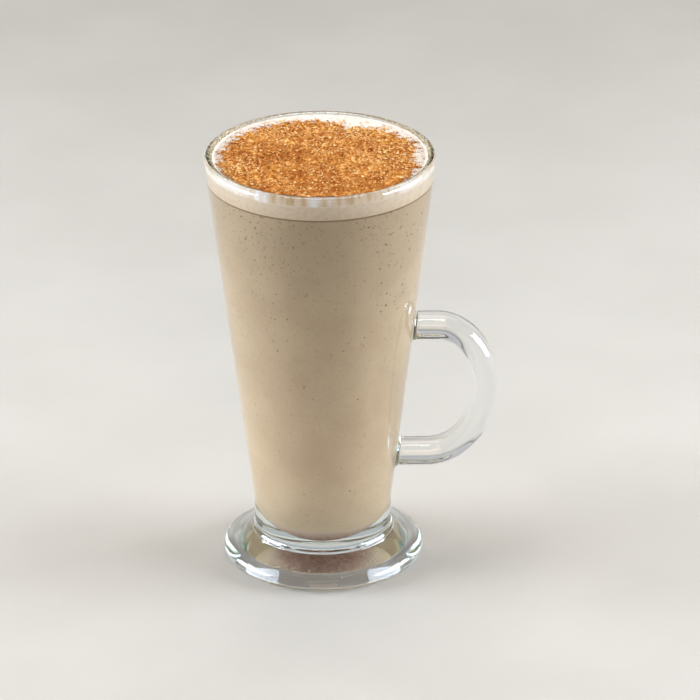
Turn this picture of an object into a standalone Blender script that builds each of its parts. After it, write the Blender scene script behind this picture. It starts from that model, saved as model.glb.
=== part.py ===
# Masala chai in a handled latte glass, with milk foam and a dusting of ground cinnamon.
# Metres, +Z up, origin on the axis in the plane that the foot stands on. The handle points to +X.

import math
import random

import bmesh
import bpy
from mathutils import Vector, noise

MM = 0.001
SEGMENTS = 80          # flat faces round every turned piece, so that their gaps stay even
GAP = 0.3 * MM         # clearance between pieces that touch

# The glass body: a long taper over a short straight waist.
HEIGHT = 148 * MM
RIM_RADIUS = 39 * MM
RIM_WALL = 3 * MM      # the rim is a half-round bead of this width
WAIST_RADIUS = 23.45 * MM
WAIST_TOP = 21 * MM
WAIST_BOTTOM = 12 * MM
LIP_RADIUS = 24.35 * MM     # the waist flares out to a small lip
LIP_HEIGHT = 10.6 * MM
CREASE_RADIUS = 24.15 * MM
CREASE_HEIGHT = 10 * MM     # the crease under the lip, where the foot's slope begins

# The foot: a slope, a ring groove and a thick rounded edge, over a flat underside.
FOOT_RADIUS = 34.15 * MM
FOOT_EDGE = 5.8 * MM
GROOVE_RADIUS = 29.3 * MM
GROOVE_HEIGHT = 5.2 * MM

# The cavity: a straight taper that ends in an elliptical bowl.
CAVITY_TOP_RADIUS = RIM_RADIUS - RIM_WALL
CAVITY_LOW_RADIUS = 20.2 * MM   # at the height of the waist's top, if the taper went on
BOWL_TOP = 28.5 * MM
BOWL_DEPTH = 20 * MM

# The handle: a D-shaped strap with flared ends, wider across than it is thick.
STRAP_HALF_WIDTH = 5.75 * MM
STRAP_HALF_THICKNESS = 4.25 * MM
STRAP_SQUARENESS = 2.6
STRAP_SIDES = 20
HANDLE_REACH = 55.65 * MM       # the outermost point of its centre line
HANDLE_MIDDLE = 63.8 * MM       # the height of that point
UPPER_END = 84.8 * MM
LOWER_END = 37.6 * MM
UPPER_BEND_START = 39.5 * MM
LOWER_BEND_START = 36 * MM
FLARE = 0.35           # how much larger the section is where it meets the wall
FLARE_LENGTH = 1.5 * MM
ROOT_DEPTH = 1.5 * MM  # how far the ends reach into the wall

# The contents, from the bottom up.
SEDIMENT_TOP = 15.1 * MM
CHAI_TOP = 139.3 * MM
FOAM_EDGE = 147 * MM        # where the foam meets the glass, just under the rim
FOAM_DOME = 0.2 * MM        # how much higher its middle stands
FOAM_CORNER = 0.6 * MM
FOAM_RINGS = (33.6, 32.5, 31.4, 28.5, 23, 17, 11, 5)    # radii in mm of the rings of its top

# The cinnamon on the foam: a thin uneven layer with a ragged edge, and lumps.
DUST_RADIUS = 32.6 * MM
DUST_RAGGED = 1.5 * MM
DUST_THICKNESS = 0.3 * MM
DUST_UNEVENNESS = 0.12 * MM
DUST_PATCH = 6 * MM         # the size of its higher and lower patches
LUMPS = 90
LUMP_LARGEST = 1.4 * MM
LUMP_SMALLEST = 0.7 * MM
LUMP_FLATNESS = 0.34
LUMP_SPREAD = 31.3 * MM
SEED = 7


def clear_scene():
    for old in list(bpy.data.objects):
        bpy.data.objects.remove(old, do_unlink=True)


def material(name, colour, roughness, transmission=0.0):
    made = bpy.data.materials.new(name)
    made.use_nodes = True
    shader = made.node_tree.nodes["Principled BSDF"]
    shader.inputs["Base Color"].default_value = (*colour, 1)
    shader.inputs["Metallic"].default_value = 0
    shader.inputs["Roughness"].default_value = roughness
    shader.inputs["Transmission Weight"].default_value = transmission
    made.diffuse_color = (*colour, 1)
    return made


def object_from(mesh_builder, name, look):
    mesh = bpy.data.meshes.new(name)
    mesh_builder.to_mesh(mesh)
    mesh_builder.free()
    made = bpy.data.objects.new(name, mesh)
    made.data.materials.append(look)
    bpy.context.scene.collection.objects.link(made)
    made.data.shade_smooth()
    made.data.set_sharp_from_angle(angle=math.radians(35))
    return made


# Profiles are lists of (radius, height).


def arc(centre, radii, start, end, steps):
    """Points of an ellipse from one angle to another, in degrees."""
    points = []
    for i in range(steps + 1):
        angle = math.radians(start + (end - start) * i / steps)
        points.append((centre[0] + radii[0] * math.cos(angle), centre[1] + radii[1] * math.sin(angle)))
    return points


def outer_radius(height):
    """The glass body's outside at a height above its waist."""
    taper = (RIM_RADIUS - WAIST_RADIUS) / (HEIGHT - RIM_WALL / 2 - WAIST_TOP)
    return WAIST_RADIUS + max(0.0, height - WAIST_TOP) * taper


def cavity_radius(height, gap=0.0):
    """The cavity's radius at a height, or that of something inside it with a gap all round."""
    taper = (CAVITY_TOP_RADIUS - CAVITY_LOW_RADIUS) / (HEIGHT - RIM_WALL / 2 - WAIST_TOP)
    straight = CAVITY_LOW_RADIUS + (height - WAIST_TOP) * taper - gap
    drop = max(0.0, BOWL_TOP - height) / (BOWL_DEPTH - gap)
    return straight * math.sqrt(max(0.0, 1 - drop * drop))


def bowl_profile(top, gap, steps):
    """The bowl's wall from its lowest point, on the axis, up to a height."""
    depth = BOWL_DEPTH - gap
    last = math.acos(max(-1.0, min(1.0, (BOWL_TOP - top) / depth)))
    points = []
    for i in range(steps + 1):
        height = BOWL_TOP - depth * math.cos(last * i / steps)
        points.append((cavity_radius(height, gap) if i else 0.0, height))
    return points


def foot_profile():
    """The foot from the lip over the crease, the slope, the groove and the edge, and in to the axis."""
    slope = [(LIP_RADIUS, LIP_HEIGHT), (CREASE_RADIUS, CREASE_HEIGHT), (GROOVE_RADIUS, GROOVE_HEIGHT)]
    half = FOOT_EDGE / 2
    edge = arc((FOOT_RADIUS - half, half), (half, half), 105, -90, 11)
    return slope + edge + [(0.0, 0.0)]


def glass_profile():
    """The whole section of the glass, from the bowl's lowest point over the rim and down to the foot."""
    half = RIM_WALL / 2
    inside = bowl_profile(BOWL_TOP, 0.0, 8)
    bead = arc((RIM_RADIUS - half, HEIGHT - half), (half, half), 180, 0, 8)
    waist = [(WAIST_RADIUS, WAIST_TOP), (WAIST_RADIUS, WAIST_BOTTOM)]
    return inside + bead + waist + foot_profile()


def turned(profile):
    """A closed body turned from a profile that starts and ends on the axis."""
    body = bmesh.new()
    points = [body.verts.new((radius, 0, height)) for radius, height in profile]
    edges = [body.edges.new(pair) for pair in zip(points, points[1:])]
    bmesh.ops.spin(
        body,
        geom=points + edges,
        cent=(0, 0, 0),
        axis=(0, 0, 1),
        dvec=(0, 0, 0),
        angle=math.tau,
        steps=SEGMENTS,
        use_merge=True,
    )
    bmesh.ops.remove_doubles(body, verts=body.verts, dist=0.001 * MM)
    bmesh.ops.recalc_face_normals(body, faces=body.faces)
    return body


def apply_union(target, helpers):
    """Fuses helper objects to the target for good, and removes them."""
    group = bpy.data.collections.new(target.name + "_helpers")
    bpy.context.scene.collection.children.link(group)
    for helper in helpers:
        bpy.context.scene.collection.objects.unlink(helper)
        group.objects.link(helper)
    union = target.modifiers.new("fuse", "BOOLEAN")
    union.operation = "UNION"
    union.operand_type = "COLLECTION"
    union.collection = group
    union.solver = "EXACT"
    graph = bpy.context.evaluated_depsgraph_get()
    fused = bpy.data.meshes.new_from_object(target.evaluated_get(graph))
    target.modifiers.remove(union)
    target.data = fused
    for helper in helpers:
        bpy.data.objects.remove(helper, do_unlink=True)
    bpy.data.collections.remove(group)


# The handle


def handle_stations():
    """(centre, direction) of each section, from inside the wall at the top round to the bottom."""
    root_steps = (-ROOT_DEPTH, 0.0, 0.6 * MM, 1.3 * MM, 2.3 * MM, 4 * MM)
    outward, inward = Vector((1, 0, 0)), Vector((-1, 0, 0))
    upper = [(Vector((outer_radius(UPPER_END) + step, 0, UPPER_END)), outward) for step in root_steps]
    lower = [(Vector((outer_radius(LOWER_END) + step, 0, LOWER_END)), inward) for step in root_steps]
    bend = []
    for start, end_height, turns in ((UPPER_BEND_START, UPPER_END, range(0, 9)),
                                     (LOWER_BEND_START, LOWER_END, range(9, 18))):
        across, down = HANDLE_REACH - start, abs(end_height - HANDLE_MIDDLE)
        for turn in turns:
            angle = math.radians(90 - turn * 180 / 17)
            centre = Vector((start + across * math.cos(angle), 0, HANDLE_MIDDLE + down * math.sin(angle)))
            along = Vector((across * math.sin(angle), 0, -down * math.cos(angle)))
            bend.append((centre, along.normalized()))
    return upper + bend + lower[::-1]


def handle_section(centre, along):
    """The ring of points round one station, flared near the wall and wrapped to its curve."""
    outward = Vector((0, 1, 0)).cross(along)
    near = max(0.0, centre.x - outer_radius(centre.z)) / FLARE_LENGTH
    scale = 1 + FLARE * math.exp(-near * near)
    fade = max(0.0, 1 - near / 3)
    ring = []
    for i in range(STRAP_SIDES):
        angle = math.tau * i / STRAP_SIDES
        power = 2 / STRAP_SQUARENESS
        across = math.copysign(abs(math.cos(angle)) ** power, math.cos(angle)) * STRAP_HALF_WIDTH
        over = math.copysign(abs(math.sin(angle)) ** power, math.sin(angle)) * STRAP_HALF_THICKNESS
        place = centre + Vector((0, across * scale, 0)) + outward * over * scale
        wall = math.sqrt(outer_radius(place.z) ** 2 - place.y ** 2)
        place.x += fade * (wall - outer_radius(centre.z))
        ring.append(place)
    return ring


def handle_body():
    """The strap as a closed tube whose two ends lie inside the wall."""
    body = bmesh.new()
    rings = [[body.verts.new(place) for place in handle_section(*station)] for station in handle_stations()]
    for first, second in zip(rings, rings[1:]):
        for i in range(STRAP_SIDES):
            j = (i + 1) % STRAP_SIDES
            body.faces.new((first[i], first[j], second[j], second[i]))
    body.faces.new(rings[0][::-1])
    body.faces.new(rings[-1])
    bmesh.ops.recalc_face_normals(body, faces=body.faces)
    return body


def make_glass():
    look = material("pressed_clear_glass", (0.93, 0.97, 0.96), 0.03, transmission=1.0)
    glass = object_from(turned(glass_profile()), "latte_glass", look)
    handle = object_from(handle_body(), "handle", look)
    apply_union(glass, [handle])
    glass.data.set_sharp_from_angle(angle=math.radians(35))
    return glass


# The contents


def make_sediment():
    look = material("settled_ground_spice", (0.26, 0.16, 0.11), 0.9)
    profile = bowl_profile(SEDIMENT_TOP - GAP / 2, GAP, 5) + [(0.0, SEDIMENT_TOP - GAP / 2)]
    return object_from(turned(profile), "spice_sediment", look)


def make_chai():
    look = material("milky_tea", (0.50, 0.38, 0.25), 0.25)
    floor = SEDIMENT_TOP + GAP / 2
    top = CHAI_TOP - GAP / 2
    wall = bowl_profile(BOWL_TOP, GAP, 9)
    wall = [(cavity_radius(floor, GAP), floor)] + [point for point in wall if point[1] > floor + GAP]
    profile = [(0.0, floor)] + wall + [(cavity_radius(top, GAP), top), (0.0, top)]
    return object_from(turned(profile), "masala_chai", look)


def foam_profile():
    """The foam from its underside's middle up the wall, over a small round corner and in to the middle."""
    floor = CHAI_TOP + GAP / 2
    shoulder = FOAM_EDGE - FOAM_CORNER
    reach = cavity_radius(shoulder, GAP)
    corner = arc((reach - FOAM_CORNER, shoulder), (FOAM_CORNER, FOAM_CORNER), 0, 90, 2)
    top = [(ring * MM, FOAM_EDGE) for ring in FOAM_RINGS]
    return [(0.0, floor), (cavity_radius(floor, GAP), floor)] + corner + top + [(0.0, FOAM_EDGE)]


def dust_reach(angle):
    """The ragged edge of the cinnamon, as a distance from the middle."""
    waves = math.sin(5 * angle + 0.8) + 0.7 * math.sin(11 * angle + 2.1) + 0.5 * math.sin(23 * angle)
    return DUST_RADIUS + DUST_RAGGED * waves / 2.2


def dome_height(radius):
    """The bare foam's surface at a distance from the middle."""
    return FOAM_EDGE + FOAM_DOME * (1 - (radius / CAVITY_TOP_RADIUS) ** 2)


def foam_height(x, y):
    """The foam's surface, with the cinnamon's uneven layer on it."""
    radius = math.hypot(x, y)
    height = dome_height(radius)
    if radius < dust_reach(math.atan2(y, x)):
        height += DUST_THICKNESS + DUST_UNEVENNESS * noise.noise((x / DUST_PATCH, y / DUST_PATCH, 0))
    return height


def dust_lumps(look, draw):
    """Lumps of cinnamon spread evenly over the foam, as sunflower seeds are, in mixed sizes."""
    sizes = [LUMP_LARGEST + (LUMP_SMALLEST - LUMP_LARGEST) * i / (LUMPS - 1) for i in range(LUMPS)]
    draw.shuffle(sizes)
    lumps = []
    for i, size in enumerate(sizes):
        reach = LUMP_SPREAD * math.sqrt((i + 0.5) / LUMPS) * draw.uniform(0.95, 1.02)
        angle = i * math.pi * (3 - math.sqrt(5)) + draw.uniform(-0.15, 0.15)
        lump = bmesh.new()
        bmesh.ops.create_icosphere(lump, subdivisions=1, radius=size)
        for corner in lump.verts:
            corner.co *= draw.uniform(0.8, 1.15)
            corner.co.z *= LUMP_FLATNESS
        x, y = reach * math.cos(angle), reach * math.sin(angle)
        bmesh.ops.translate(lump, verts=lump.verts, vec=(x, y, foam_height(x, y)))
        lumps.append(object_from(lump, f"lump_{i}", look))
    return lumps


def make_foam():
    look = material("milk_foam_with_cinnamon", (0.80, 0.62, 0.42), 0.8)
    body = turned(foam_profile())
    for corner in body.verts:
        if corner.co.z > FOAM_EDGE - 0.01 * MM:
            corner.co.z = foam_height(corner.co.x, corner.co.y)
    foam = object_from(body, "milk_foam", look)
    apply_union(foam, dust_lumps(look, random.Random(SEED)))
    foam.data.set_sharp_from_angle(angle=math.radians(50))
    return foam


clear_scene()
make_glass()
make_sediment()
make_chai()
make_foam()
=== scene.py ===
# Masala chai in a latte glass: the looks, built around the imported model.
# The dictionaries hold millimetres and degrees, apart from the studio's, and meshes are turned
# to metres when they are made.
import math
import random

import bmesh
import bpy
import numpy as np
from mathutils import Matrix, Vector, noise


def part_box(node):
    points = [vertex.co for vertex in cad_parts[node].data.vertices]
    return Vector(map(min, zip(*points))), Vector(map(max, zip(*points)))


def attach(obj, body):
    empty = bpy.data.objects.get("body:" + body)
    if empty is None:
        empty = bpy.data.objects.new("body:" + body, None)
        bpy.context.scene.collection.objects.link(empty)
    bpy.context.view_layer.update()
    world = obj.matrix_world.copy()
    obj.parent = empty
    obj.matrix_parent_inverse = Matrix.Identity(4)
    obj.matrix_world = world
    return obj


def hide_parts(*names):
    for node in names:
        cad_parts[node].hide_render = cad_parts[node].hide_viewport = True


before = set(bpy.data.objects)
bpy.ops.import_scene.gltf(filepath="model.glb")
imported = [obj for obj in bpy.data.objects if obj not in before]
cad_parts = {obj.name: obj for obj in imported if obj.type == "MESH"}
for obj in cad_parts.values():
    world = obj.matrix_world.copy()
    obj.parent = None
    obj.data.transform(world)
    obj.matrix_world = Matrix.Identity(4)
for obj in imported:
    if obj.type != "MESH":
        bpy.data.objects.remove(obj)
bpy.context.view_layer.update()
mm = 0.001
print("masala chai: packed model loaded")


# small helpers

def linear(hexText):
    # an sRGB hex colour as linear values with an alpha of 1
    values = [int(hexText[i:i + 2], 16) / 255 for i in (1, 3, 5)]
    return (*[v / 12.92 if v <= 0.04045 else ((v + 0.055) / 1.055) ** 2.4 for v in values], 1)


def perMetre(sizeMm):
    # the texture scale whose pattern repeats about every sizeMm
    return 1 / (sizeMm * mm)


def addNode(tree, kind, settings={}, inputs={}, links={}, stops=(), smooth=True):
    # a node with its settings, input values and (node, output) links, and a ramp's (position, hex) stops
    node = tree.nodes.new(kind)
    for key, value in settings.items():
        setattr(node, key, value)
    for key, value in inputs.items():
        node.inputs[key].default_value = value
    for key, (source, output) in links.items():
        tree.links.new(source.outputs[output], node.inputs[key])
    if stops:
        elements = node.color_ramp.elements
        while len(elements) < len(stops):
            elements.new(0.5)
        for element, (position, hexText) in zip(elements, stops):
            element.position = position
            element.color = linear(hexText)
        node.color_ramp.interpolation = "EASE" if smooth else "LINEAR"
    return node


def newMaterial(name, **inputs):
    # a Principled material, with spaces in its input names written as underscores
    made = bpy.data.materials.new(name)
    made.use_nodes = True
    shader = made.node_tree.nodes["Principled BSDF"]
    for key, value in inputs.items():
        shader.inputs[key.replace("_", " ")].default_value = value
    return made, made.node_tree, shader


def newPiece(name, points, faces, material, replaces=()):
    # a smooth mesh piece from points in millimetres, riding on the one body
    mesh = bpy.data.meshes.new(name)
    mesh.from_pydata((np.asarray(points, float) * mm).tolist(), [], faces)
    piece = bpy.data.objects.new(name, mesh)
    bpy.context.scene.collection.objects.link(piece)
    mesh.materials.append(material)
    mesh.shade_smooth()
    mesh.update()
    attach(piece, "root")
    if replaces:
        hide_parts(*replaces)
    return piece


def turn(profile, segments):
    # points and faces of a body turned from (radius, height) points that start and end on the axis
    points, rings, faces = [], [], []
    for radius, height in profile:
        if radius < 1e-6:
            rings.append([len(points)])
            points.append((0, 0, height))
            continue
        start = len(points)
        rings.append(list(range(start, start + segments)))
        for i in range(segments):
            angle = math.tau * i / segments
            points.append((radius * math.cos(angle), radius * math.sin(angle), height))
    for low, high in zip(rings, rings[1:]):
        for i in range(segments):
            j = (i + 1) % segments
            if len(low) == 1:
                faces.append((low[0], high[i], high[j]))
            elif len(high) == 1:
                faces.append((low[i], high[0], low[j]))
            else:
                faces.append((low[i], high[i], high[j], low[j]))
    return points, faces


def faceOutward(piece):
    # every face of a closed piece turned to look outward
    mesh = bmesh.new()
    mesh.from_mesh(piece.data)
    bmesh.ops.recalc_face_normals(mesh, faces=mesh.faces)
    mesh.to_mesh(piece.data)
    mesh.free()


def steps(start, end, count):
    # evenly spaced values with both ends in
    return [start + (end - start) * i / count for i in range(count + 1)]


# the glass

glassShape = {
    "ior": 1.52, "tintHex": "#D4E4E1", "tintDensity": 12.0, "waveSize": 14, "waveDepth": 0.05,
    # the rounded rim and the straight waist between the taper and the foot
    "rimWall": 3.0, "rimSteps": 16,
    "waistRadius": 23.45, "waistTop": 21.0, "waistMiddle": 16.0, "waistBottom": 11.8,
    # the foot from its small lip outwards: crease, slope, groove and round edge
    "lipRadius": 24.35, "lipHeight": 10.6, "creaseRadius": 24.15, "creaseHeight": 10.0,
    "slopeSag": 0.15, "slopeSteps": 10, "grooveRadius": 29.3, "grooveHeight": 5.2,
    "footRadius": 34.15, "footEdge": 5.8, "edgeFrom": 112, "edgeSteps": 30,
    # under it the ring that it stands on, and the recess with its steep side and its domed ceiling
    "standOuter": 30.7, "standInner": 28.6, "recess": 1.5, "recessSide": 0.8,
    "recessCorner": 4, "recessDome": 0.6, "recessSteps": 10,
    # the cavity, with a round bowl at the bottom of its taper
    "cavityLowRadius": 20.2, "bowlTop": 28.5, "bowlDepth": 20.0, "bowlSteps": 40,
    # how far from each corner its rounding starts
    "soft": {"knee": 1.0, "flare": 1.5, "tip": 0.28, "groove": 0.3, "stand": 0.7},
    "segments": 208, "ringSpacing": 2.2, "cavitySpacing": 4.0, "sharpAngle": 38,
}
glassShape["height"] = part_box("latte_glass")[1].z / mm
glassShape["rimRadius"] = -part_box("latte_glass")[0].x / mm

handleShape = {
    # the section, and how far the middle line goes out and up
    "halfWidth": 5.75, "halfThickness": 4.25, "squareness": 2.6, "sides": 44,
    "reach": 55.65, "middle": 63.8,
    "upperEnd": 84.8, "lowerEnd": 37.6, "upperBendStart": 39.5, "lowerBendStart": 36.0,
    # the flared roots, and how far out the sections follow the wall's curve
    "fillet": 1.6, "filletFrom": 12, "rootDepth": 1.2, "wrapReach": 5.0,
    "filletSteps": 9, "bendSteps": 30, "upperSpans": 5, "lowerSpans": 7,
}


def taperHeight():
    # from the top of the waist to where the rim's rounding starts
    return glassShape["height"] - glassShape["rimWall"] / 2 - glassShape["waistTop"]


def outerRadius(height):
    taper = (glassShape["rimRadius"] - glassShape["waistRadius"]) / taperHeight()
    return glassShape["waistRadius"] + max(0.0, height - glassShape["waistTop"]) * taper


def cavityRadius(height, into=0.0):
    # into is how far a content reaches into the wall, so that no air gap shows
    shape = glassShape
    taper = (shape["rimRadius"] - shape["rimWall"] - shape["cavityLowRadius"]) / taperHeight()
    straight = shape["cavityLowRadius"] + (height - shape["waistTop"]) * taper + into
    drop = max(0.0, shape["bowlTop"] - height) / (shape["bowlDepth"] + into)
    return straight * math.sqrt(max(0.0, 1 - drop * drop))


def bowlWall(low, high, into, count):
    # the cavity's wall between two heights, evenly spaced round the bowl and then up the taper
    top = glassShape["bowlTop"]
    depth = glassShape["bowlDepth"] + into
    first = math.acos(min(1.0, (top - low) / depth))
    last = math.acos(max(0.0, (top - high) / depth))
    heights = [top - depth * math.cos(angle) for angle in steps(first, last, count)]
    if high > top:
        rings = int((high - top) / glassShape["cavitySpacing"])
        heights += steps(top, high, rings)[1:]
    return [(cavityRadius(height, into), height) for height in heights]


def curved(start, middle, end, count):
    # points of a curve that leaves start towards middle and comes from there to end
    return [tuple(start * (1 - t) ** 2 + middle * 2 * t * (1 - t) + end * t ** 2)
            for t in steps(0, 1, count)]


def softened(points, reach, count=6):
    # a polyline whose inner corners are rounded off by a short curve, within 0.45 of the stretches
    rounded = [points[0]]
    for before, corner, after in zip(points, points[1:], points[2:]):
        before, corner, after = Vector(before), Vector(corner), Vector(after)
        enter = corner + (before - corner).normalized() * min(reach, (before - corner).length * 0.45)
        leave = corner + (after - corner).normalized() * min(reach, (after - corner).length * 0.45)
        rounded += curved(enter, corner, leave, count)
    return rounded + [points[-1]]


def footOutline():
    # from the waist over a small lip, the crease, the slope and the groove to the round edge,
    # then the ring that it stands on and the recess inside it
    shape, soft = glassShape, glassShape["soft"]
    half = shape["footEdge"] / 2
    lip = (shape["lipRadius"], shape["lipHeight"])
    crease = Vector((shape["creaseRadius"], shape["creaseHeight"]))
    groove = Vector((shape["grooveRadius"], shape["grooveHeight"]))
    sag = crease.lerp(groove, 0.5) - Vector((shape["slopeSag"], shape["slopeSag"]))
    slope = curved(crease, sag, groove, shape["slopeSteps"])
    edge = []
    for angle in steps(shape["edgeFrom"], -90, shape["edgeSteps"]):
        turned = math.radians(angle)
        edge.append((shape["footRadius"] - half + half * math.cos(turned), half + half * math.sin(turned)))
    waist = [(shape["waistRadius"], shape[height]) for height in ("waistMiddle", "waistBottom")]
    flare = softened(waist + [lip], soft["flare"], 10)[1:-1]
    tip = softened([flare[-1], lip, slope[0], slope[1]], soft["tip"])[1:-1]
    groovePart = softened([slope[-2], slope[-1], edge[0]], soft["groove"])[1:-1]
    inner, deep = shape["standInner"], shape["recess"]
    flat = inner - shape["recessCorner"]
    stand = [(shape["standOuter"], 0), (inner, 0), (inner - shape["recessSide"], deep), (flat, deep)]
    under = softened(stand, soft["stand"])
    ceiling = [(radius, deep + shape["recessDome"] * (1 - (radius / flat) ** 2))
               for radius in steps(flat, 0, shape["recessSteps"])]
    return flare + tip + slope[1:-1] + groovePart + edge + under[:-1] + ceiling


def glassOutline():
    # from the bowl's lowest point up inside, over the rim, down outside and under the foot
    shape = glassShape
    half = shape["rimWall"] / 2
    shoulder = shape["height"] - half
    inside = bowlWall(0, shoulder, 0.0, shape["bowlSteps"])
    inside[0] = (0.0, inside[0][1])
    rim = []
    for angle in steps(180, 0, shape["rimSteps"])[1:]:
        turned = math.radians(angle)
        rim.append((shape["rimRadius"] - half + half * math.cos(turned), shoulder + half * math.sin(turned)))
    count = int((shoulder - shape["waistTop"]) / shape["ringSpacing"])
    outside = [(outerRadius(height), height) for height in steps(shoulder, shape["waistTop"] + 1, count)[1:]]
    waist = [(shape["waistRadius"], shape[height]) for height in ("waistTop", "waistMiddle")]
    knee = softened([outside[-1]] + waist, shape["soft"]["knee"])
    return inside + rim + outside[:-1] + knee[:-1] + footOutline()


def handleStations():
    # (centre, direction, how much fatter the section is) from inside the wall round to inside the wall
    shape = handleShape
    fillet = shape["fillet"]
    outward, inward = Vector((1, 0, 0)), Vector((-1, 0, 0))
    root = []
    for angle in steps(shape["filletFrom"], 90, shape["filletSteps"]):
        turned = math.radians(angle)
        root.append((fillet - fillet * math.cos(turned), fillet - fillet * math.sin(turned)))
    root = [(-shape["rootDepth"], root[0][1])] + root
    upper = [(Vector((outerRadius(shape["upperEnd"]) + out, 0, shape["upperEnd"])), outward, fat)
             for out, fat in root]
    lower = [(Vector((outerRadius(shape["lowerEnd"]) + out, 0, shape["lowerEnd"])), inward, fat)
             for out, fat in reversed(root)]
    bend = []
    for start, end, first in (("upperBendStart", "upperEnd", 90), ("lowerBendStart", "lowerEnd", 0)):
        across = shape["reach"] - shape[start]
        tall = abs(shape[end] - shape["middle"])
        for angle in steps(first, first - 90, shape["bendSteps"])[(first == 0):]:
            turned = math.radians(angle)
            out, height = shape[start] + across * math.cos(turned), shape["middle"] + tall * math.sin(turned)
            centre = Vector((out, 0, height))
            along = Vector((across * math.sin(turned), 0, -tall * math.cos(turned)))
            bend.append((centre, along.normalized(), 0.0))
    straight = [(upper[-1][0].lerp(bend[0][0], t), outward, 0.0) for t in steps(0, 1, shape["upperSpans"])]
    back = [(bend[-1][0].lerp(lower[0][0], t), inward, 0.0) for t in steps(0, 1, shape["lowerSpans"])]
    return upper + straight[1:-1] + bend + back[1:-1] + lower


def handleRing(centre, along, fat):
    # one rounded-square section, bent round the wall where it is close to it
    shape = handleShape
    over = Vector((0, 1, 0)).cross(along)
    power = 2 / shape["squareness"]
    out = centre.x - outerRadius(centre.z)
    wrap = 1 - min(1.0, max(0.0, out / shape["wrapReach"]))
    ring = []
    for i in range(shape["sides"]):
        angle = math.tau * i / shape["sides"]
        side, rise = math.cos(angle), math.sin(angle)
        y = math.copysign(abs(side) ** power, side) * (shape["halfWidth"] + fat)
        place = centre + over * math.copysign(abs(rise) ** power, rise) * (shape["halfThickness"] + fat)
        place.y = y
        place.x += wrap * wrap * (math.sqrt(outerRadius(place.z) ** 2 - y * y) - outerRadius(centre.z))
        ring.append(tuple(place))
    return ring


def handleMesh():
    rings = [handleRing(*station) for station in handleStations()]
    sides = handleShape["sides"]
    points = [point for ring in rings for point in ring]
    faces = [tuple(range(sides)), tuple(range(len(points) - sides, len(points)))[::-1]]
    for k in range(len(rings) - 1):
        for i in range(sides):
            j = (i + 1) % sides
            faces.append((k * sides + i, (k + 1) * sides + i, (k + 1) * sides + j, k * sides + j))
    return points, faces


def pressedGlass():
    # soda-lime glass, pressed and fire-polished: clear and glossy, faintly wavy and grey-green
    # where it is thick
    shape = glassShape
    look, tree, shader = newMaterial(
        "pressed soda-lime glass",
        Base_Color=(1, 1, 1, 1), Roughness=0.0, IOR=shape["ior"], Transmission_Weight=1.0)
    place = addNode(tree, "ShaderNodeTexCoord")
    wave = addNode(tree, "ShaderNodeTexNoise",
                   inputs={"Scale": perMetre(shape["waveSize"]), "Detail": 1.0, "Roughness": 0.4},
                   links={"Vector": (place, "Object")})
    bump = addNode(tree, "ShaderNodeBump", inputs={"Strength": 0.35, "Distance": shape["waveDepth"] * mm},
                   links={"Height": (wave, "Fac")})
    tree.links.new(bump.outputs["Normal"], shader.inputs["Normal"])
    tint = addNode(tree, "ShaderNodeVolumeAbsorption",
                   inputs={"Color": linear(shape["tintHex"]), "Density": shape["tintDensity"]})
    tree.links.new(tint.outputs["Volume"], tree.nodes["Material Output"].inputs["Volume"])
    return look


def makeGlass():
    # body and handle, fused into one piece of glass
    look = pressedGlass()
    points, faces = turn(glassOutline(), glassShape["segments"])
    glass = newPiece("latteGlass", points, faces, look, ("latte_glass",))
    faceOutward(glass)
    points, faces = handleMesh()
    strap = newPiece("strap", points, faces, look)
    faceOutward(strap)
    union = glass.modifiers.new("fuse", "BOOLEAN")
    union.operation = "UNION"
    union.object = strap
    union.solver = "EXACT"
    fused = bpy.data.meshes.new_from_object(glass.evaluated_get(bpy.context.evaluated_depsgraph_get()))
    glass.modifiers.remove(union)
    glass.data = fused
    bpy.data.objects.remove(strap, do_unlink=True)
    fused.shade_smooth()
    fused.set_sharp_from_angle(angle=math.radians(glassShape["sharpAngle"]))
    print("masala chai: glass made,", len(fused.polygons), "faces")


# the chai and the settled spice

contents = {
    # how far the contents reach into the wall, the heights of their layers and the gap between two
    "into": 0.12, "sedimentTop": 15.1, "foamLine": 139.3, "foamEdge": 147.0, "gap": 0.02,
    "segments": 176, "sedimentSteps": 20, "chaiSteps": 24, "sharpAngle": 40,
}
chai = {
    "hexes": ("#CAB190", "#D1B997"), "cloudSize": 16,
    "grainHex": "#D9D2C8", "grainSize": 1.1, "grainShare": 0.3,
    # painted shade: what the colour is multiplied by from the bottom up between these heights, darker at the
    # top
    "paintedLightHex": "#FBFAF8", "paintedShadeHex": "#D8D5CF", "lowHeight": 30, "highHeight": 135,
    "lineHex": "#C9BEAC", "lineWidth": 0.5, "lineWobble": 0.6,
}
settledSpice = {
    "hexes": ("#7C5643", "#9C7461", "#BA9582"), "grainSize": 0.7, "grainDepth": 0.15,
    # the milk that clouds it towards its top
    "milkHex": "#C9B197", "milkFrom": 10.5, "milkTo": 15.1,
}


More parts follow.
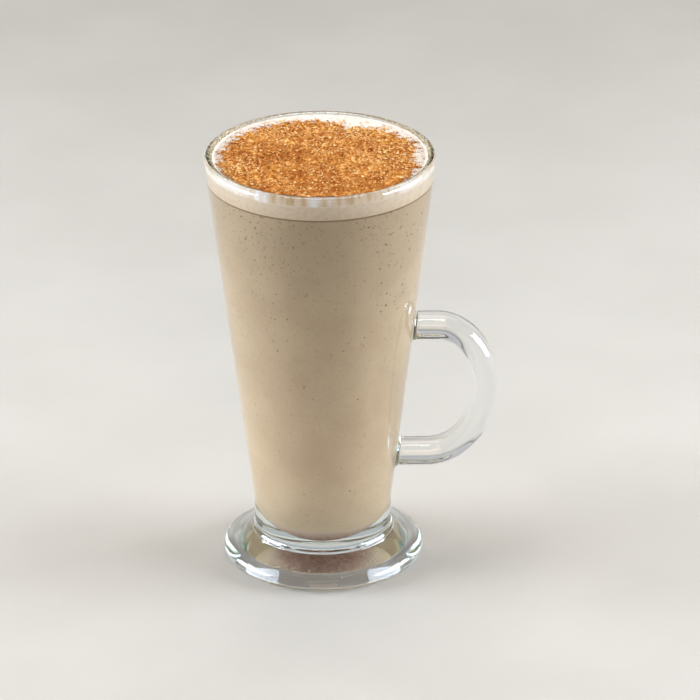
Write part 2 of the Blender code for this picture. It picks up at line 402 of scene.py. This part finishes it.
def milkyTea():
    # black tea simmered with milk: opaque and smooth, a darker line of fine spice under the foam;
    # the spice dust in it is too fine to see, so it is drawn as a faint grain of 1.1 mm
    look, tree, shader = newMaterial("simmered milk tea", Roughness=0.5, IOR=1.35, Specular_IOR_Level=0.0)
    place = addNode(tree, "ShaderNodeTexCoord")
    cloud = addNode(tree, "ShaderNodeTexNoise",
                    inputs={"Scale": perMetre(chai["cloudSize"]), "Detail": 3.0, "Distortion": 0.6},
                    links={"Vector": (place, "Object")})
    body = addNode(tree, "ShaderNodeValToRGB", links={"Fac": (cloud, "Fac")},
                   stops=list(zip((0.3, 0.7), chai["hexes"])))
    grain = addNode(tree, "ShaderNodeTexNoise", inputs={"Scale": perMetre(chai["grainSize"]), "Detail": 2.0},
                    links={"Vector": (place, "Object")})
    spots = addNode(tree, "ShaderNodeValToRGB", links={"Fac": (grain, "Fac")},
                    stops=[(0.30, chai["grainHex"]), (0.40, "#FFFFFF")])
    mixed = addNode(tree, "ShaderNodeMix", {"data_type": "RGBA", "blend_type": "MULTIPLY"},
                    {"Factor": chai["grainShare"]}, {"A": (body, "Color"), "B": (spots, "Color")})
    # painted shade: the tea is darkened towards its top and left light at its bottom, as if lit from the
    # floor
    split = addNode(tree, "ShaderNodeSeparateXYZ", links={"Vector": (place, "Object")})
    deep = addNode(tree, "ShaderNodeMapRange",
                   inputs={"From Min": chai["lowHeight"] * mm, "From Max": chai["highHeight"] * mm},
                   links={"Value": (split, "Z")})
    paintedShade = addNode(tree, "ShaderNodeValToRGB", links={"Fac": (deep, "Result")},
                     stops=[(0.0, chai["paintedLightHex"]), (1.0, chai["paintedShadeHex"])], smooth=False)
    shadedTea = addNode(tree, "ShaderNodeMix", {"data_type": "RGBA", "blend_type": "MULTIPLY"},
                      {"Factor": 1.0}, {"A": (mixed, "Result"), "B": (paintedShade, "Color")})
    wobble = addNode(tree, "ShaderNodeMath", {"operation": "MULTIPLY_ADD"}, {1: chai["lineWobble"] * mm},
                     {0: (grain, "Fac"), 2: (split, "Z")})
    lineTop = contents["foamLine"] * mm
    high = addNode(tree, "ShaderNodeMapRange",
                   inputs={"From Min": lineTop - chai["lineWidth"] * mm, "From Max": lineTop + 0.1 * mm},
                   links={"Value": (wobble, "Value")})
    line = addNode(tree, "ShaderNodeValToRGB", links={"Fac": (high, "Result")},
                   stops=[(0.0, "#FFFFFF"), (0.55, chai["lineHex"])])
    lined = addNode(tree, "ShaderNodeMix", {"data_type": "RGBA", "blend_type": "MULTIPLY"},
                    {"Factor": 1.0}, {"A": (shadedTea, "Result"), "B": (line, "Color")})
    tree.links.new(lined.outputs["Result"], shader.inputs["Base Color"])
    return look


def wetSpice():
    # ground spice that has settled out of the tea: brown, grainy, wet and dull under the glass;
    # its grain of about 0.3 mm is drawn at 0.7 mm, so that it shows
    look, tree, shader = newMaterial("settled ground spice", Roughness=0.7, Specular_IOR_Level=0.0)
    place = addNode(tree, "ShaderNodeTexCoord")
    grain = addNode(tree, "ShaderNodeTexVoronoi", inputs={"Scale": perMetre(settledSpice["grainSize"])},
                    links={"Vector": (place, "Object")})
    shade = addNode(tree, "ShaderNodeValToRGB", links={"Fac": (grain, "Color")},
                    stops=list(zip((0.1, 0.5, 0.9), settledSpice["hexes"])), smooth=False)
    split = addNode(tree, "ShaderNodeSeparateXYZ", links={"Vector": (place, "Object")})
    low, high = settledSpice["milkFrom"] * mm, settledSpice["milkTo"] * mm
    upper = addNode(tree, "ShaderNodeMapRange", inputs={"From Min": low, "From Max": high},
                    links={"Value": (split, "Z")})
    milk = addNode(tree, "ShaderNodeMix", {"data_type": "RGBA"}, {"B": linear(settledSpice["milkHex"])},
                   {"Factor": (upper, "Result"), "A": (shade, "Color")})
    tree.links.new(milk.outputs["Result"], shader.inputs["Base Color"])
    bump = addNode(tree, "ShaderNodeBump",
                   inputs={"Strength": 1.0, "Distance": settledSpice["grainDepth"] * mm},
                   links={"Height": (grain, "Distance")})
    tree.links.new(bump.outputs["Normal"], shader.inputs["Normal"])
    return look


def makeDrink():
    into = contents["into"]
    level = contents["sedimentTop"]
    line = contents["foamLine"]
    wall = bowlWall(0, level, into, contents["sedimentSteps"])
    points, faces = turn([(0.0, wall[0][1])] + wall[1:] + [(0.0, level)], contents["segments"])
    sediment = newPiece("settledSpice", points, faces, wetSpice(), ("spice_sediment",))
    level += contents["gap"]
    wall = bowlWall(level, line, into, contents["chaiSteps"])
    points, faces = turn([(0.0, level)] + wall + [(0.0, line)], contents["segments"])
    tea = newPiece("milkTea", points, faces, milkyTea(), ("masala_chai",))
    for piece in (sediment, tea):
        faceOutward(piece)
        piece.data.set_sharp_from_angle(angle=math.radians(contents["sharpAngle"]))
    print("masala chai: tea and settled spice made")


speckKinds = {
    # how many, smallest and largest half length, colour, how much they stand out, the depth in which they
    # thin out downwards; the halos lie round the dark specks and come from the same seed
    "darkSpecks": {"count": 290, "sizes": (0.16, 0.44), "hex": "#6F614B",
                   "stand": 0.4, "fade": 15, "seed": 8},
    "speckHalos": {"count": 290, "sizes": (0.32, 0.76), "hex": "#928064",
                   "stand": 0.1, "fade": 15, "seed": 8},
    "faintSpecks": {"count": 1500, "sizes": (0.22, 0.56), "hex": "#8C7C64",
                    "stand": 0.2, "fade": 19, "seed": 4},
    "lineSpecks": {"count": 130, "sizes": (0.14, 0.38), "hex": "#5E5038",
                   "stand": 0.25, "fade": 0.6, "seed": 5},
}
speckPlaces = {
    # how far they stay under the foam line and over the settled spice, and the size of the cells that
    # hold one speck each, about 1.4 mm both ways
    "underLine": 0.2, "overSpice": 4.0, "cellsPerRadian": 26, "cellHeight": 1.4,
    "lift": 0.01, "tilt": 0.1,
    # the colour towards which single specks are veiled by milk
    "veilHex": "#AD9A7C",
}


def chipMesh(places, rng, flat, tilt=0.35):
    # small eight-sided chips: places holds (centre, half length, outward direction)
    points, faces = [], []
    corners = [Vector(c) for c in ((1, 0, 0), (0, 1, 0), (-1, 0, 0), (0, -1, 0), (0, 0, 1), (0, 0, -1))]
    sides = [(0, 1, 4), (1, 2, 4), (2, 3, 4), (3, 0, 4), (1, 0, 5), (2, 1, 5), (3, 2, 5), (0, 3, 5)]
    for centre, size, outward in places:
        start = len(points)
        lean = Vector((rng.uniform(-tilt, tilt), rng.uniform(-tilt, tilt), rng.uniform(-tilt, tilt)))
        up = (Vector(outward) + lean).normalized()
        right = up.orthogonal().normalized()
        right.rotate(Matrix.Rotation(rng.uniform(0, math.tau), 3, up))
        ahead = up.cross(right)
        long, wide = size * rng.uniform(0.8, 1.2), size * rng.uniform(0.45, 0.9)
        for corner in corners:
            jitter = rng.uniform(0.75, 1.2)
            offset = right * corner.x * long + ahead * corner.y * wide + up * corner.z * size * flat
            points.append(tuple(Vector(centre) + offset * jitter))
        faces += [tuple(start + i for i in side) for side in sides]
    return points, faces


def randomSize(rng, sizes, power):
    # a size between the smallest and the largest, with more small ones the higher the power
    return sizes[0] + (sizes[1] - sizes[0]) * rng.random() ** power


def speckMaterial(name, hexText):
    # ground spice held in the tea just behind the glass: the milk over it veils its brown
    look, tree, shader = newMaterial(name, Roughness=0.8, Specular_IOR_Level=0.0)
    own = addNode(tree, "ShaderNodeNewGeometry")
    veiled = addNode(tree, "ShaderNodeMix", {"data_type": "RGBA"},
                     {"A": linear(hexText), "B": linear(speckPlaces["veilHex"])},
                     {"Factor": (own, "Random Per Island")})
    tree.links.new(veiled.outputs["Result"], shader.inputs["Base Color"])
    return look


def makeSpecks():
    highest = contents["foamLine"] - speckPlaces["underLine"]
    lowest = contents["sedimentTop"] + speckPlaces["overSpice"]
    for name, kind in speckKinds.items():
        rng = random.Random(kind["seed"])
        places, taken = [], set()
        while len(places) < kind["count"]:
            height = highest - rng.expovariate(1 / kind["fade"])
            if height < lowest:
                continue
            angle = rng.uniform(0, math.tau)
            # one speck for each cell, so that they don't run together, apart from those on the line
            cell = (int(angle * speckPlaces["cellsPerRadian"]), int(height / speckPlaces["cellHeight"]))
            if cell in taken and name != "lineSpecks":
                continue
            taken.add(cell)
            size = randomSize(rng, kind["sizes"], 2)
            radius = cavityRadius(height, contents["into"]) + speckPlaces["lift"]
            outward = Vector((math.cos(angle), math.sin(angle), 0))
            places.append((outward * radius + Vector((0, 0, height)), size, outward))
        points, faces = chipMesh(places, rng, kind["stand"], speckPlaces["tilt"])
        look = speckMaterial("ground spice in milk tea, " + name, kind["hex"])
        newPiece(name, points, faces, look)
    print("masala chai: specks made")


# the foam

foamShape = {
    "dome": 0.2, "climb": 0.3, "climbReach": 1.0,
    # swells of its surface: size, height and the layer of the noise that they are taken from
    "swells": ((7, 0.10, 3.1), (1.3, 0.05, 8.7)),
    # rings of its surface: closely spaced near the wall, then wider towards the middle
    "wallRing": 0.15, "wallRings": 23, "wallReach": 4, "middleRing": 1.2, "middleSteps": 34,
    "sideSteps": 6, "sharpAngle": 55,
    # colours from the foam line to a little over the edge, each with its place between the two
    "layers": [(0.0, "#C9B294"), (0.62, "#D0BCA1"), (0.80, "#E3D8CA"), (1.0, "#ECE2D5")],
    "overEdge": 0.8, "unevenSize": 5, "uneven": 1.6,
    "mottleHex": "#F7F2EC", "mottleSize": 1.4, "mottleDepth": 0.12,
    # powder and milk film on the wall under the rim: colours, width of a streak and the heights and the
    # distance in front of the axis between which they are there
    "stains": [(0.34, "#BFA27B"), (0.47, "#D5BDA1"), (0.55, "#DACCBD"), (0.64, "#E0DCD8")],
    "stainWidth": 3.6, "stainBottom": 144.2, "stainTop": 147.0, "stainFrom": 22, "stainTo": 31,
}


def foamTop(x, y):
    # the bare foam's surface, with the little climb where it meets the glass
    radius = math.hypot(x, y)
    wall = cavityRadius(contents["foamEdge"])
    near = max(0.0, 1 - (wall - radius) / foamShape["climbReach"])
    height = contents["foamEdge"] + foamShape["climb"] * near ** 2
    height += foamShape["dome"] * (1 - (radius / wall) ** 2)
    for size, tall, layer in foamShape["swells"]:
        height += tall * noise.noise(Vector((x / size, y / size, layer)))
    return height


def steamedFoam():
    # steamed milk foam: a matte white crust over tea-coloured foam, with an uneven edge between the two;
    # its bubbles are too fine to see, so they are drawn as a soft grain of 1.4 mm
    look, tree, shader = newMaterial("steamed milk foam", Roughness=0.75, IOR=1.35, Specular_IOR_Level=0.1)
    shape = foamShape
    place = addNode(tree, "ShaderNodeTexCoord")
    split = addNode(tree, "ShaderNodeSeparateXYZ", links={"Vector": (place, "Object")})
    uneven = addNode(tree, "ShaderNodeTexNoise",
                     inputs={"Scale": perMetre(shape["unevenSize"]), "Detail": 2.0},
                     links={"Vector": (place, "Object")})
    level = addNode(tree, "ShaderNodeMath", {"operation": "MULTIPLY_ADD"}, {1: shape["uneven"] * mm},
                    {0: (uneven, "Fac"), 2: (split, "Z")})
    low, high = contents["foamLine"] * mm, (contents["foamEdge"] + shape["overEdge"]) * mm
    soak = addNode(tree, "ShaderNodeMapRange", inputs={"From Min": low, "From Max": high},
                   links={"Value": (level, "Value")})
    tea = addNode(tree, "ShaderNodeValToRGB", links={"Fac": (soak, "Result")}, stops=shape["layers"])
    fine = addNode(tree, "ShaderNodeTexNoise",
                   inputs={"Scale": perMetre(shape["mottleSize"]), "Detail": 4.0},
                   links={"Vector": (place, "Object")})
    mottle = addNode(tree, "ShaderNodeValToRGB", links={"Fac": (fine, "Fac")},
                     stops=[(0.3, shape["mottleHex"]), (0.6, "#FFFFFF")])
    mixed = addNode(tree, "ShaderNodeMix", {"data_type": "RGBA", "blend_type": "MULTIPLY"},
                    {"Factor": 1.0}, {"A": (tea, "Color"), "B": (mottle, "Color")})
    # the streaks are a noise drawn out upwards, kept to a band under the rim at the front
    squeeze = addNode(tree, "ShaderNodeMapping", inputs={"Scale": (1, 1, 0.2)},
                      links={"Vector": (place, "Object")})
    film = addNode(tree, "ShaderNodeTexNoise",
                   inputs={"Scale": perMetre(shape["stainWidth"]), "Detail": 1.0},
                   links={"Vector": (squeeze, "Vector")})
    stains = addNode(tree, "ShaderNodeValToRGB", links={"Fac": (film, "Fac")}, stops=shape["stains"])
    under = addNode(tree, "ShaderNodeMapRange",
                    inputs={"From Min": shape["stainBottom"] * mm, "From Max": shape["stainTop"] * mm},
                    links={"Value": (split, "Z")})
    band = addNode(tree, "ShaderNodeValToRGB", links={"Fac": (under, "Result")},
                   stops=[(0.0, "#000000"), (0.2, "#FFFFFF"), (0.9, "#FFFFFF"), (1.0, "#000000")])
    ahead = addNode(tree, "ShaderNodeMapRange",
                    inputs={"From Min": -shape["stainFrom"] * mm, "From Max": -shape["stainTo"] * mm},
                    links={"Value": (split, "Y")})
    share = addNode(tree, "ShaderNodeMath", {"operation": "MULTIPLY"},
                    links={0: (band, "Color"), 1: (ahead, "Result")})
    stained = addNode(tree, "ShaderNodeMix", {"data_type": "RGBA"},
                      links={"Factor": (share, "Value"), "A": (mixed, "Result"), "B": (stains, "Color")})
    tree.links.new(stained.outputs["Result"], shader.inputs["Base Color"])
    bump = addNode(tree, "ShaderNodeBump", inputs={"Strength": 0.6, "Distance": shape["mottleDepth"] * mm},
                   links={"Height": (fine, "Fac")})
    tree.links.new(bump.outputs["Normal"], shader.inputs["Normal"])
    return look


def makeFoam():
    shape = foamShape
    line = contents["foamLine"] + contents["gap"]
    edge = contents["foamEdge"]
    wall = cavityRadius(edge)
    heights = steps(line, edge + shape["climb"], shape["sideSteps"])
    side = [(cavityRadius(height, contents["into"]), height) for height in heights]
    rings = [wall - shape["wallRing"] * i for i in range(1, shape["wallRings"] + 1)]
    rings += steps(wall - shape["wallReach"], shape["middleRing"], shape["middleSteps"])
    profile = [(0.0, line)] + side + [(ring, edge) for ring in rings] + [(0.0, edge)]
    points, faces = turn(profile, contents["segments"])
    topFrom = 1 + len(side) * contents["segments"]
    points[topFrom:] = [(x, y, foamTop(x, y)) for x, y, height in points[topFrom:]]
    foam = newPiece("milkFoam", points, faces, steamedFoam(), ("milk_foam",))
    faceOutward(foam)
    foam.data.set_sharp_from_angle(angle=math.radians(shape["sharpAngle"]))
    print("masala chai: foam made")


# the cinnamon

dust = {
    "centre": (-0.8, -1.2), "radius": 32.0, "spacing": 0.3, "margin": 3, "offWall": 0.3,
    # its edge: waves, lobes and spikes, each with how far they go out and how closely they follow;
    # how much further out it is at the front, and where it stays back behind
    "waves": (1.0, 3), "lobes": (2.0, 9), "spikes": (4.2, 21), "frontReach": 3.3,
    "backGap": {"angle": 67, "width": 15, "depth": 3.4},
    # how ragged it is, how deep from the edge that may go, and where no hole is left
    "ragged": 2.9, "fineRagged": 1.2, "raggedDepth": 4.2, "closedFrom": 7.0,
    # thickness of the layer with its clumps and grains, the least one, and how wide its edge rises
    "thickness": 0.30, "clumps": 0.55, "grains": 0.20, "least": 0.04, "lift": 0.02, "riseReach": 1.4,
    # colours from dark to light, sizes of a grain, of a patch of shade and of a drift of shade
    "hexes": ("#9C551B", "#C47A2E", "#DA9745", "#EFC27F"), "driftHex": "#DDC7B2",
    "grainSize": 0.9, "grainDepth": 0.12, "patchSize": 2.2, "driftSize": 9, "patchShare": 0.75,
    # places where it lies thinly: x, y, radius and strength; and how much they open it up
    "thin": ((-26, -10, 6, 1.6), (26, -2, 9, 1.3), (11, 23, 8, 1.8), (-14, 22, 7, 1.0), (3, 6, 8, 0.6)),
    "thinShare": 0.8,
    # the place where it lies thickest
    "thick": (-11, -6, 11),
}
grainKinds = {
    # ground bark grains: how many, half lengths, colours from dark to light, how many more fall on the
    # thick place and on the thin ones, and how many just outside the edge
    "cinnamonGrains": {"count": 7500, "sizes": (0.12, 0.42), "hexes": ("#94501B", "#BC7630", "#DDA25C"),
                       "thick": 0.0, "thin": 0.0, "outside": 0.8, "seed": 21},
    "darkGrains": {"count": 3000, "sizes": (0.10, 0.34), "hexes": ("#3E2815", "#7A451C", "#96551F"),
                   "thick": 1.5, "thin": -0.3, "outside": 0.35, "seed": 22},
    "paleGrains": {"count": 3400, "sizes": (0.18, 0.60), "hexes": ("#D8994C", "#E6B56C", "#F4D29A"),
                   "thick": -0.8, "thin": 4.0, "outside": 0.8, "seed": 23},
}
grainPlaces = {
    # how far grains stay off the wall, how fast they thin out past the edge, where a place counts as
    # fully thin, how much of a grain's half length stands proud and how tall it is beside its length
    "offWall": 0.35, "scatter": 1.5, "fullyThin": 1.5, "proud": 0.2, "flatness": 0.5,
}


def dustInside(x, y):
    # how far inside the cinnamon's spiky edge a place lies
    x, y = x - dust["centre"][0], y - dust["centre"][1]
    angle = math.atan2(y, x)
    around = Vector((math.cos(angle), math.sin(angle), 0))
    (wave, waves), (lobe, lobes), (spike, spikes) = dust["waves"], dust["lobes"], dust["spikes"]
    reach = dust["radius"] + wave * noise.noise(around * waves)
    reach += lobe * noise.noise(around * lobes + Vector((4, 1, 2)))
    reach += spike * abs(noise.noise(around * spikes + Vector((9, 5, 1))))
    reach += dust["frontReach"] * min(1.0, max(0.0, -1.5 * math.sin(angle)))
    gap = dust["backGap"]
    off = (math.degrees(angle) - gap["angle"]) / gap["width"]
    reach -= gap["depth"] * math.exp(-off * off)
    return reach - math.hypot(x, y)


def dustThin(x, y):
    # how thinly the powder lies
    thin = 0.0
    for spotX, spotY, radius, strength in dust["thin"]:
        thin += strength * math.exp(-((x - spotX) ** 2 + (y - spotY) ** 2) / radius ** 2)
    return thin


def dustCover(x, y):
    # above nought where powder lies: ragged towards the edge, with small holes in the thin places near it
    inside = dustInside(x, y)
    ragged = dust["ragged"] * noise.noise(Vector((x / 1.5, y / 1.2, 2.0)))
    ragged += dust["fineRagged"] * noise.noise(Vector((x / 0.6, y / 0.6, 1.0)))
    nearEdge = min(inside, dust["raggedDepth"]) - dust["thinShare"] * dustThin(x, y) + ragged
    return max(inside - dust["closedFrom"], nearEdge)


def dustHeight(x, y, cover):
    # clumps of about 2 mm with grains of under 1 mm on them
    rise = min(1.0, max(0.0, cover / dust["riseReach"]))
    clumps = noise.noise(Vector((x / 2.0, y / 1.5, 5.0)))
    grains = noise.noise(Vector((x / 0.7, y / 0.7, 9.0)))
    relief = dust["clumps"] * clumps + dust["grains"] * grains
    return foamTop(x, y) + rise * max(dust["least"], dust["thickness"] + relief) + dust["lift"]


def groundCinnamon():
    # finely ground bark: dry, matte, orange-brown with darker and paler grains side by side;
    # a grain of about 0.3 mm is drawn at 0.9 mm, so that it shows
    look, tree, shader = newMaterial("ground cinnamon crust", Roughness=0.9, Specular_IOR_Level=0.15)
    place = addNode(tree, "ShaderNodeTexCoord")
    grain = addNode(tree, "ShaderNodeTexVoronoi", inputs={"Scale": perMetre(dust["grainSize"])},
                    links={"Vector": (place, "Object")})
    patch = addNode(tree, "ShaderNodeTexNoise",
                    inputs={"Scale": perMetre(dust["patchSize"]), "Detail": 3.0, "Distortion": 1.2},
                    links={"Vector": (place, "Object")})
    drift = addNode(tree, "ShaderNodeTexNoise", inputs={"Scale": perMetre(dust["driftSize"]), "Detail": 1.0},
                    links={"Vector": (place, "Object")})
    depth = addNode(tree, "ShaderNodeValToRGB", links={"Fac": (drift, "Fac")},
                    stops=[(0.35, dust["driftHex"]), (0.6, "#FFFFFF")])
    both = addNode(tree, "ShaderNodeMix", {"data_type": "FLOAT"}, {"Factor": dust["patchShare"]},
                   {"A": (grain, "Color"), "B": (patch, "Fac")})
    shade = addNode(tree, "ShaderNodeValToRGB", links={"Fac": (both, "Result")},
                    stops=list(zip((0.34, 0.46, 0.55, 0.66), dust["hexes"])), smooth=False)
    shaded = addNode(tree, "ShaderNodeMix", {"data_type": "RGBA", "blend_type": "MULTIPLY"},
                     {"Factor": 1.0}, {"A": (shade, "Color"), "B": (depth, "Color")})
    tree.links.new(shaded.outputs["Result"], shader.inputs["Base Color"])
    bump = addNode(tree, "ShaderNodeBump", inputs={"Strength": 0.6, "Distance": dust["grainDepth"] * mm},
                   links={"Height": (grain, "Distance")})
    tree.links.new(bump.outputs["Normal"], shader.inputs["Normal"])
    return look


def grainMaterial(name, hexes):
    # loose grains of ground bark: dry and matte, each with a shade of its own
    look, tree, shader = newMaterial(name, Roughness=0.85, Specular_IOR_Level=0.15)
    own = addNode(tree, "ShaderNodeNewGeometry")
    shade = addNode(tree, "ShaderNodeValToRGB", links={"Fac": (own, "Random Per Island")},
                    stops=list(zip((0.0, 0.5, 1.0), hexes)), smooth=False)
    tree.links.new(shade.outputs["Color"], shader.inputs["Base Color"])
    return look


def makeDustLayer():
    # a bumpy crust of powder on a fine grid, cut to its ragged edge
    spacing, radius = dust["spacing"], dust["radius"] + dust["margin"]
    count = int(2 * radius / spacing)
    wall = cavityRadius(contents["foamEdge"]) - dust["offWall"]
    index, points, faces = {}, [], []
    for i in range(count + 1):
        for j in range(count + 1):
            x = -radius + i * spacing + (0.5 * spacing if j % 2 else 0.0)
            y = -radius + j * spacing
            if math.hypot(x, y) > wall:
                continue
            cover = dustCover(x, y)
            if cover < 0:
                continue
            index[i, j] = len(points)
            points.append((x, y, dustHeight(x, y, cover)))
    for (i, j), start in index.items():
        corners = [index.get(key) for key in ((i + 1, j), (i + 1, j + 1), (i, j + 1))]
        if None not in corners:
            faces.append((start, *corners))
    newPiece("cinnamonCrust", points, faces, groundCinnamon())
    print("masala chai: cinnamon crust made,", len(faces), "faces")


def makeGrains():
    wall = cavityRadius(contents["foamEdge"]) - grainPlaces["offWall"]
    spotX, spotY, spread = dust["thick"]
    for name, kind in grainKinds.items():
        rng = random.Random(kind["seed"])
        places = []
        while len(places) < kind["count"]:
            radius, angle = wall * math.sqrt(rng.random()), rng.uniform(0, math.tau)
            x, y = radius * math.cos(angle), radius * math.sin(angle)
            cover = dustCover(x, y)
            if cover < 0 and rng.random() > kind["outside"] * math.exp(cover / grainPlaces["scatter"]):
                continue
            near = math.exp(-((x - spotX) ** 2 + (y - spotY) ** 2) / spread ** 2)
            sparse = min(1.0, dustThin(x, y) / grainPlaces["fullyThin"])
            if rng.random() * (1 + max(0.0, kind["thick"])) > 1 + kind["thick"] * near:
                continue
            if rng.random() * (1 + max(0.0, kind["thin"])) > 1 + kind["thin"] * sparse:
                continue
            size = randomSize(rng, kind["sizes"], 1.7)
            height = dustHeight(x, y, cover) + grainPlaces["proud"] * size
            places.append(((x, y, height), size, (0, 0, 1)))
        points, faces = chipMesh(places, rng, grainPlaces["flatness"])
        look = grainMaterial("ground cinnamon, " + name, kind["hexes"])
        newPiece(name, points, faces, look)
    print("masala chai: grains made")


rimDust = {
    "count": 3000, "sizes": (0.08, 0.32), "seed": 31, "hexes": ("#4F4A3A", "#A18B66", "#DDD0B2"),
    # where they lie over the rim, from outside over the top to inside: middle, spread and the last place
    "over": 115, "spread": 38, "last": 215,
}


def makeRimDust():
    # stray grains that stick to the rim, fewest at the front
    rng = random.Random(rimDust["seed"])
    half = glassShape["rimWall"] / 2
    places = []
    while len(places) < rimDust["count"]:
        around = rng.uniform(0, math.tau)
        if rng.random() > 0.45 + 0.55 * abs(math.cos(around)) - 0.5 * max(0.0, -math.sin(around)):
            continue
        over = math.radians(rng.gauss(rimDust["over"], rimDust["spread"]))
        if not 0 < over < math.radians(rimDust["last"]):
            continue
        flat = Vector((math.cos(around), math.sin(around), 0))
        outward = flat * math.cos(over) + Vector((0, 0, math.sin(over)))
        size = randomSize(rng, rimDust["sizes"], 2)
        radius = glassShape["rimRadius"] - half
        centre = flat * radius + Vector((0, 0, glassShape["height"] - half))
        places.append((centre + outward * (half + grainPlaces["proud"] * size), size, outward))
    points, faces = chipMesh(places, rng, grainPlaces["flatness"])
    look = grainMaterial("ground cinnamon on the rim", rimDust["hexes"])
    newPiece("rimDust", points, faces, look)
    print("masala chai: rim dust made")


# the studio

studio = {
    # the floor and the lights are in metres, and the floor's mottle in millimetres
    "floorRadius": 3.0, "floorDrop": 0.0002, "floorMottle": 60,
    "floorHex": "#ADA599", "floorLightHex": "#B1A99D",
    "worldHex": "#A1988C", "worldStrength": 0.30,
    "boxes": {
        # place, what it points at, width, height, watts and colour: cool at the sides, warm in front
        "leftBox": ((-0.85, -0.03, 0.27), (0, 0, 0.09), 0.8, 0.45, 26.0, "#E0EDFF"),
        "rightBox": ((0.85, -0.03, 0.27), (0, 0, 0.09), 0.8, 0.45, 26.0, "#E0EDFF"),
        "frontBox": ((0.0, -1.15, 0.80), (0, 0, 0.08), 0.8, 0.4, 2.4, "#FFDEB8"),
        # two pale cards at the back, low and high, for the clear glass to show
        "backCard": ((0.0, 1.8, 0.40), (0, 0, 0.40), 3.0, 0.8, 3.6, "#F0F6FF"),
        "highCard": ((0.0, 1.1, 1.15), (0, 0, 0.10), 1.6, 0.7, 2.6, "#F4F8FF"),
        "topBox": ((0.0, 0.2, 1.1), (0, 0, 0.12), 0.55, 0.4, 4.7, "#FFFCF8"),
    },
    "lightBounces": 24,
}
cameraView = {
    "distance": 2000.0, "elevation": 24.647, "roll": -0.362,
    "aimX": 9.667, "aimZ": 75.56, "lens": 302.34, "sensor": 36,
}


def paintedFloor():
    # a pale board painted matte, with the faintest mottle
    look, tree, shader = newMaterial("matte painted board", Roughness=0.85, Specular_IOR_Level=0.2)
    place = addNode(tree, "ShaderNodeTexCoord")
    mottle = addNode(tree, "ShaderNodeTexNoise",
                     inputs={"Scale": perMetre(studio["floorMottle"]), "Detail": 4.0},
                     links={"Vector": (place, "Object")})
    paint = addNode(tree, "ShaderNodeValToRGB", links={"Fac": (mottle, "Fac")},
                    stops=[(0.3, studio["floorHex"]), (0.7, studio["floorLightHex"])])
    tree.links.new(paint.outputs["Color"], shader.inputs["Base Color"])
    return look


def makeStudio():
    mesh = bmesh.new()
    bmesh.ops.create_circle(mesh, cap_ends=True, segments=96, radius=studio["floorRadius"])
    floorMesh = bpy.data.meshes.new("floor")
    mesh.to_mesh(floorMesh)
    mesh.free()
    floor = bpy.data.objects.new("floor", floorMesh)
    floor.location.z = -studio["floorDrop"]
    bpy.context.scene.collection.objects.link(floor)
    floorMesh.materials.append(paintedFloor())
    for name, (place, aim, width, height, watts, hexText) in studio["boxes"].items():
        light = bpy.data.lights.new(name, "AREA")
        light.shape = "RECTANGLE"
        light.size, light.size_y = width, height
        light.energy = watts
        light.color = linear(hexText)[:3]
        lamp = bpy.data.objects.new(name, light)
        lamp.location = place
        lamp.rotation_euler = (Vector(aim) - Vector(place)).to_track_quat("-Z", "Y").to_euler()
        bpy.context.scene.collection.objects.link(lamp)
    world = bpy.data.worlds.new("studio")
    world.use_nodes = True
    air = world.node_tree.nodes["Background"]
    air.inputs["Color"].default_value = linear(studio["worldHex"])
    air.inputs["Strength"].default_value = studio["worldStrength"]
    bpy.context.scene.world = world
    bpy.context.scene.view_settings.view_transform = "Standard"
    # light goes round inside the rim and the foot many times, and would turn black with fewer bounces
    paths = bpy.context.scene.cycles
    paths.max_bounces = paths.glossy_bounces = paths.transmission_bounces = studio["lightBounces"]
    print("masala chai: floor and lights made")


def makeCamera():
    tilt, roll = math.radians(cameraView["elevation"]), math.radians(cameraView["roll"])
    ahead = Vector((0, math.cos(tilt), -math.sin(tilt)))
    right = Vector((1, 0, 0))
    up = right.cross(ahead)
    turnedRight = right * math.cos(roll) + up * math.sin(roll)
    turnedUp = up * math.cos(roll) - right * math.sin(roll)
    aim = Vector((cameraView["aimX"], 0, cameraView["aimZ"])) * mm
    lens = bpy.data.cameras.new("camera")
    lens.lens = cameraView["lens"]
    lens.sensor_width = cameraView["sensor"]
    lens.clip_start = 0.05
    camera = bpy.data.objects.new("camera", lens)
    pose = Matrix((turnedRight, turnedUp, -ahead)).transposed().to_4x4()
    pose.translation = aim - ahead * cameraView["distance"] * mm
    camera.matrix_world = pose
    bpy.context.scene.collection.objects.link(camera)
    bpy.context.scene.camera = camera


makeStudio()
makeCamera()
makeGlass()
makeDrink()
makeSpecks()
makeFoam()
makeDustLayer()
makeGrains()
makeRimDust()
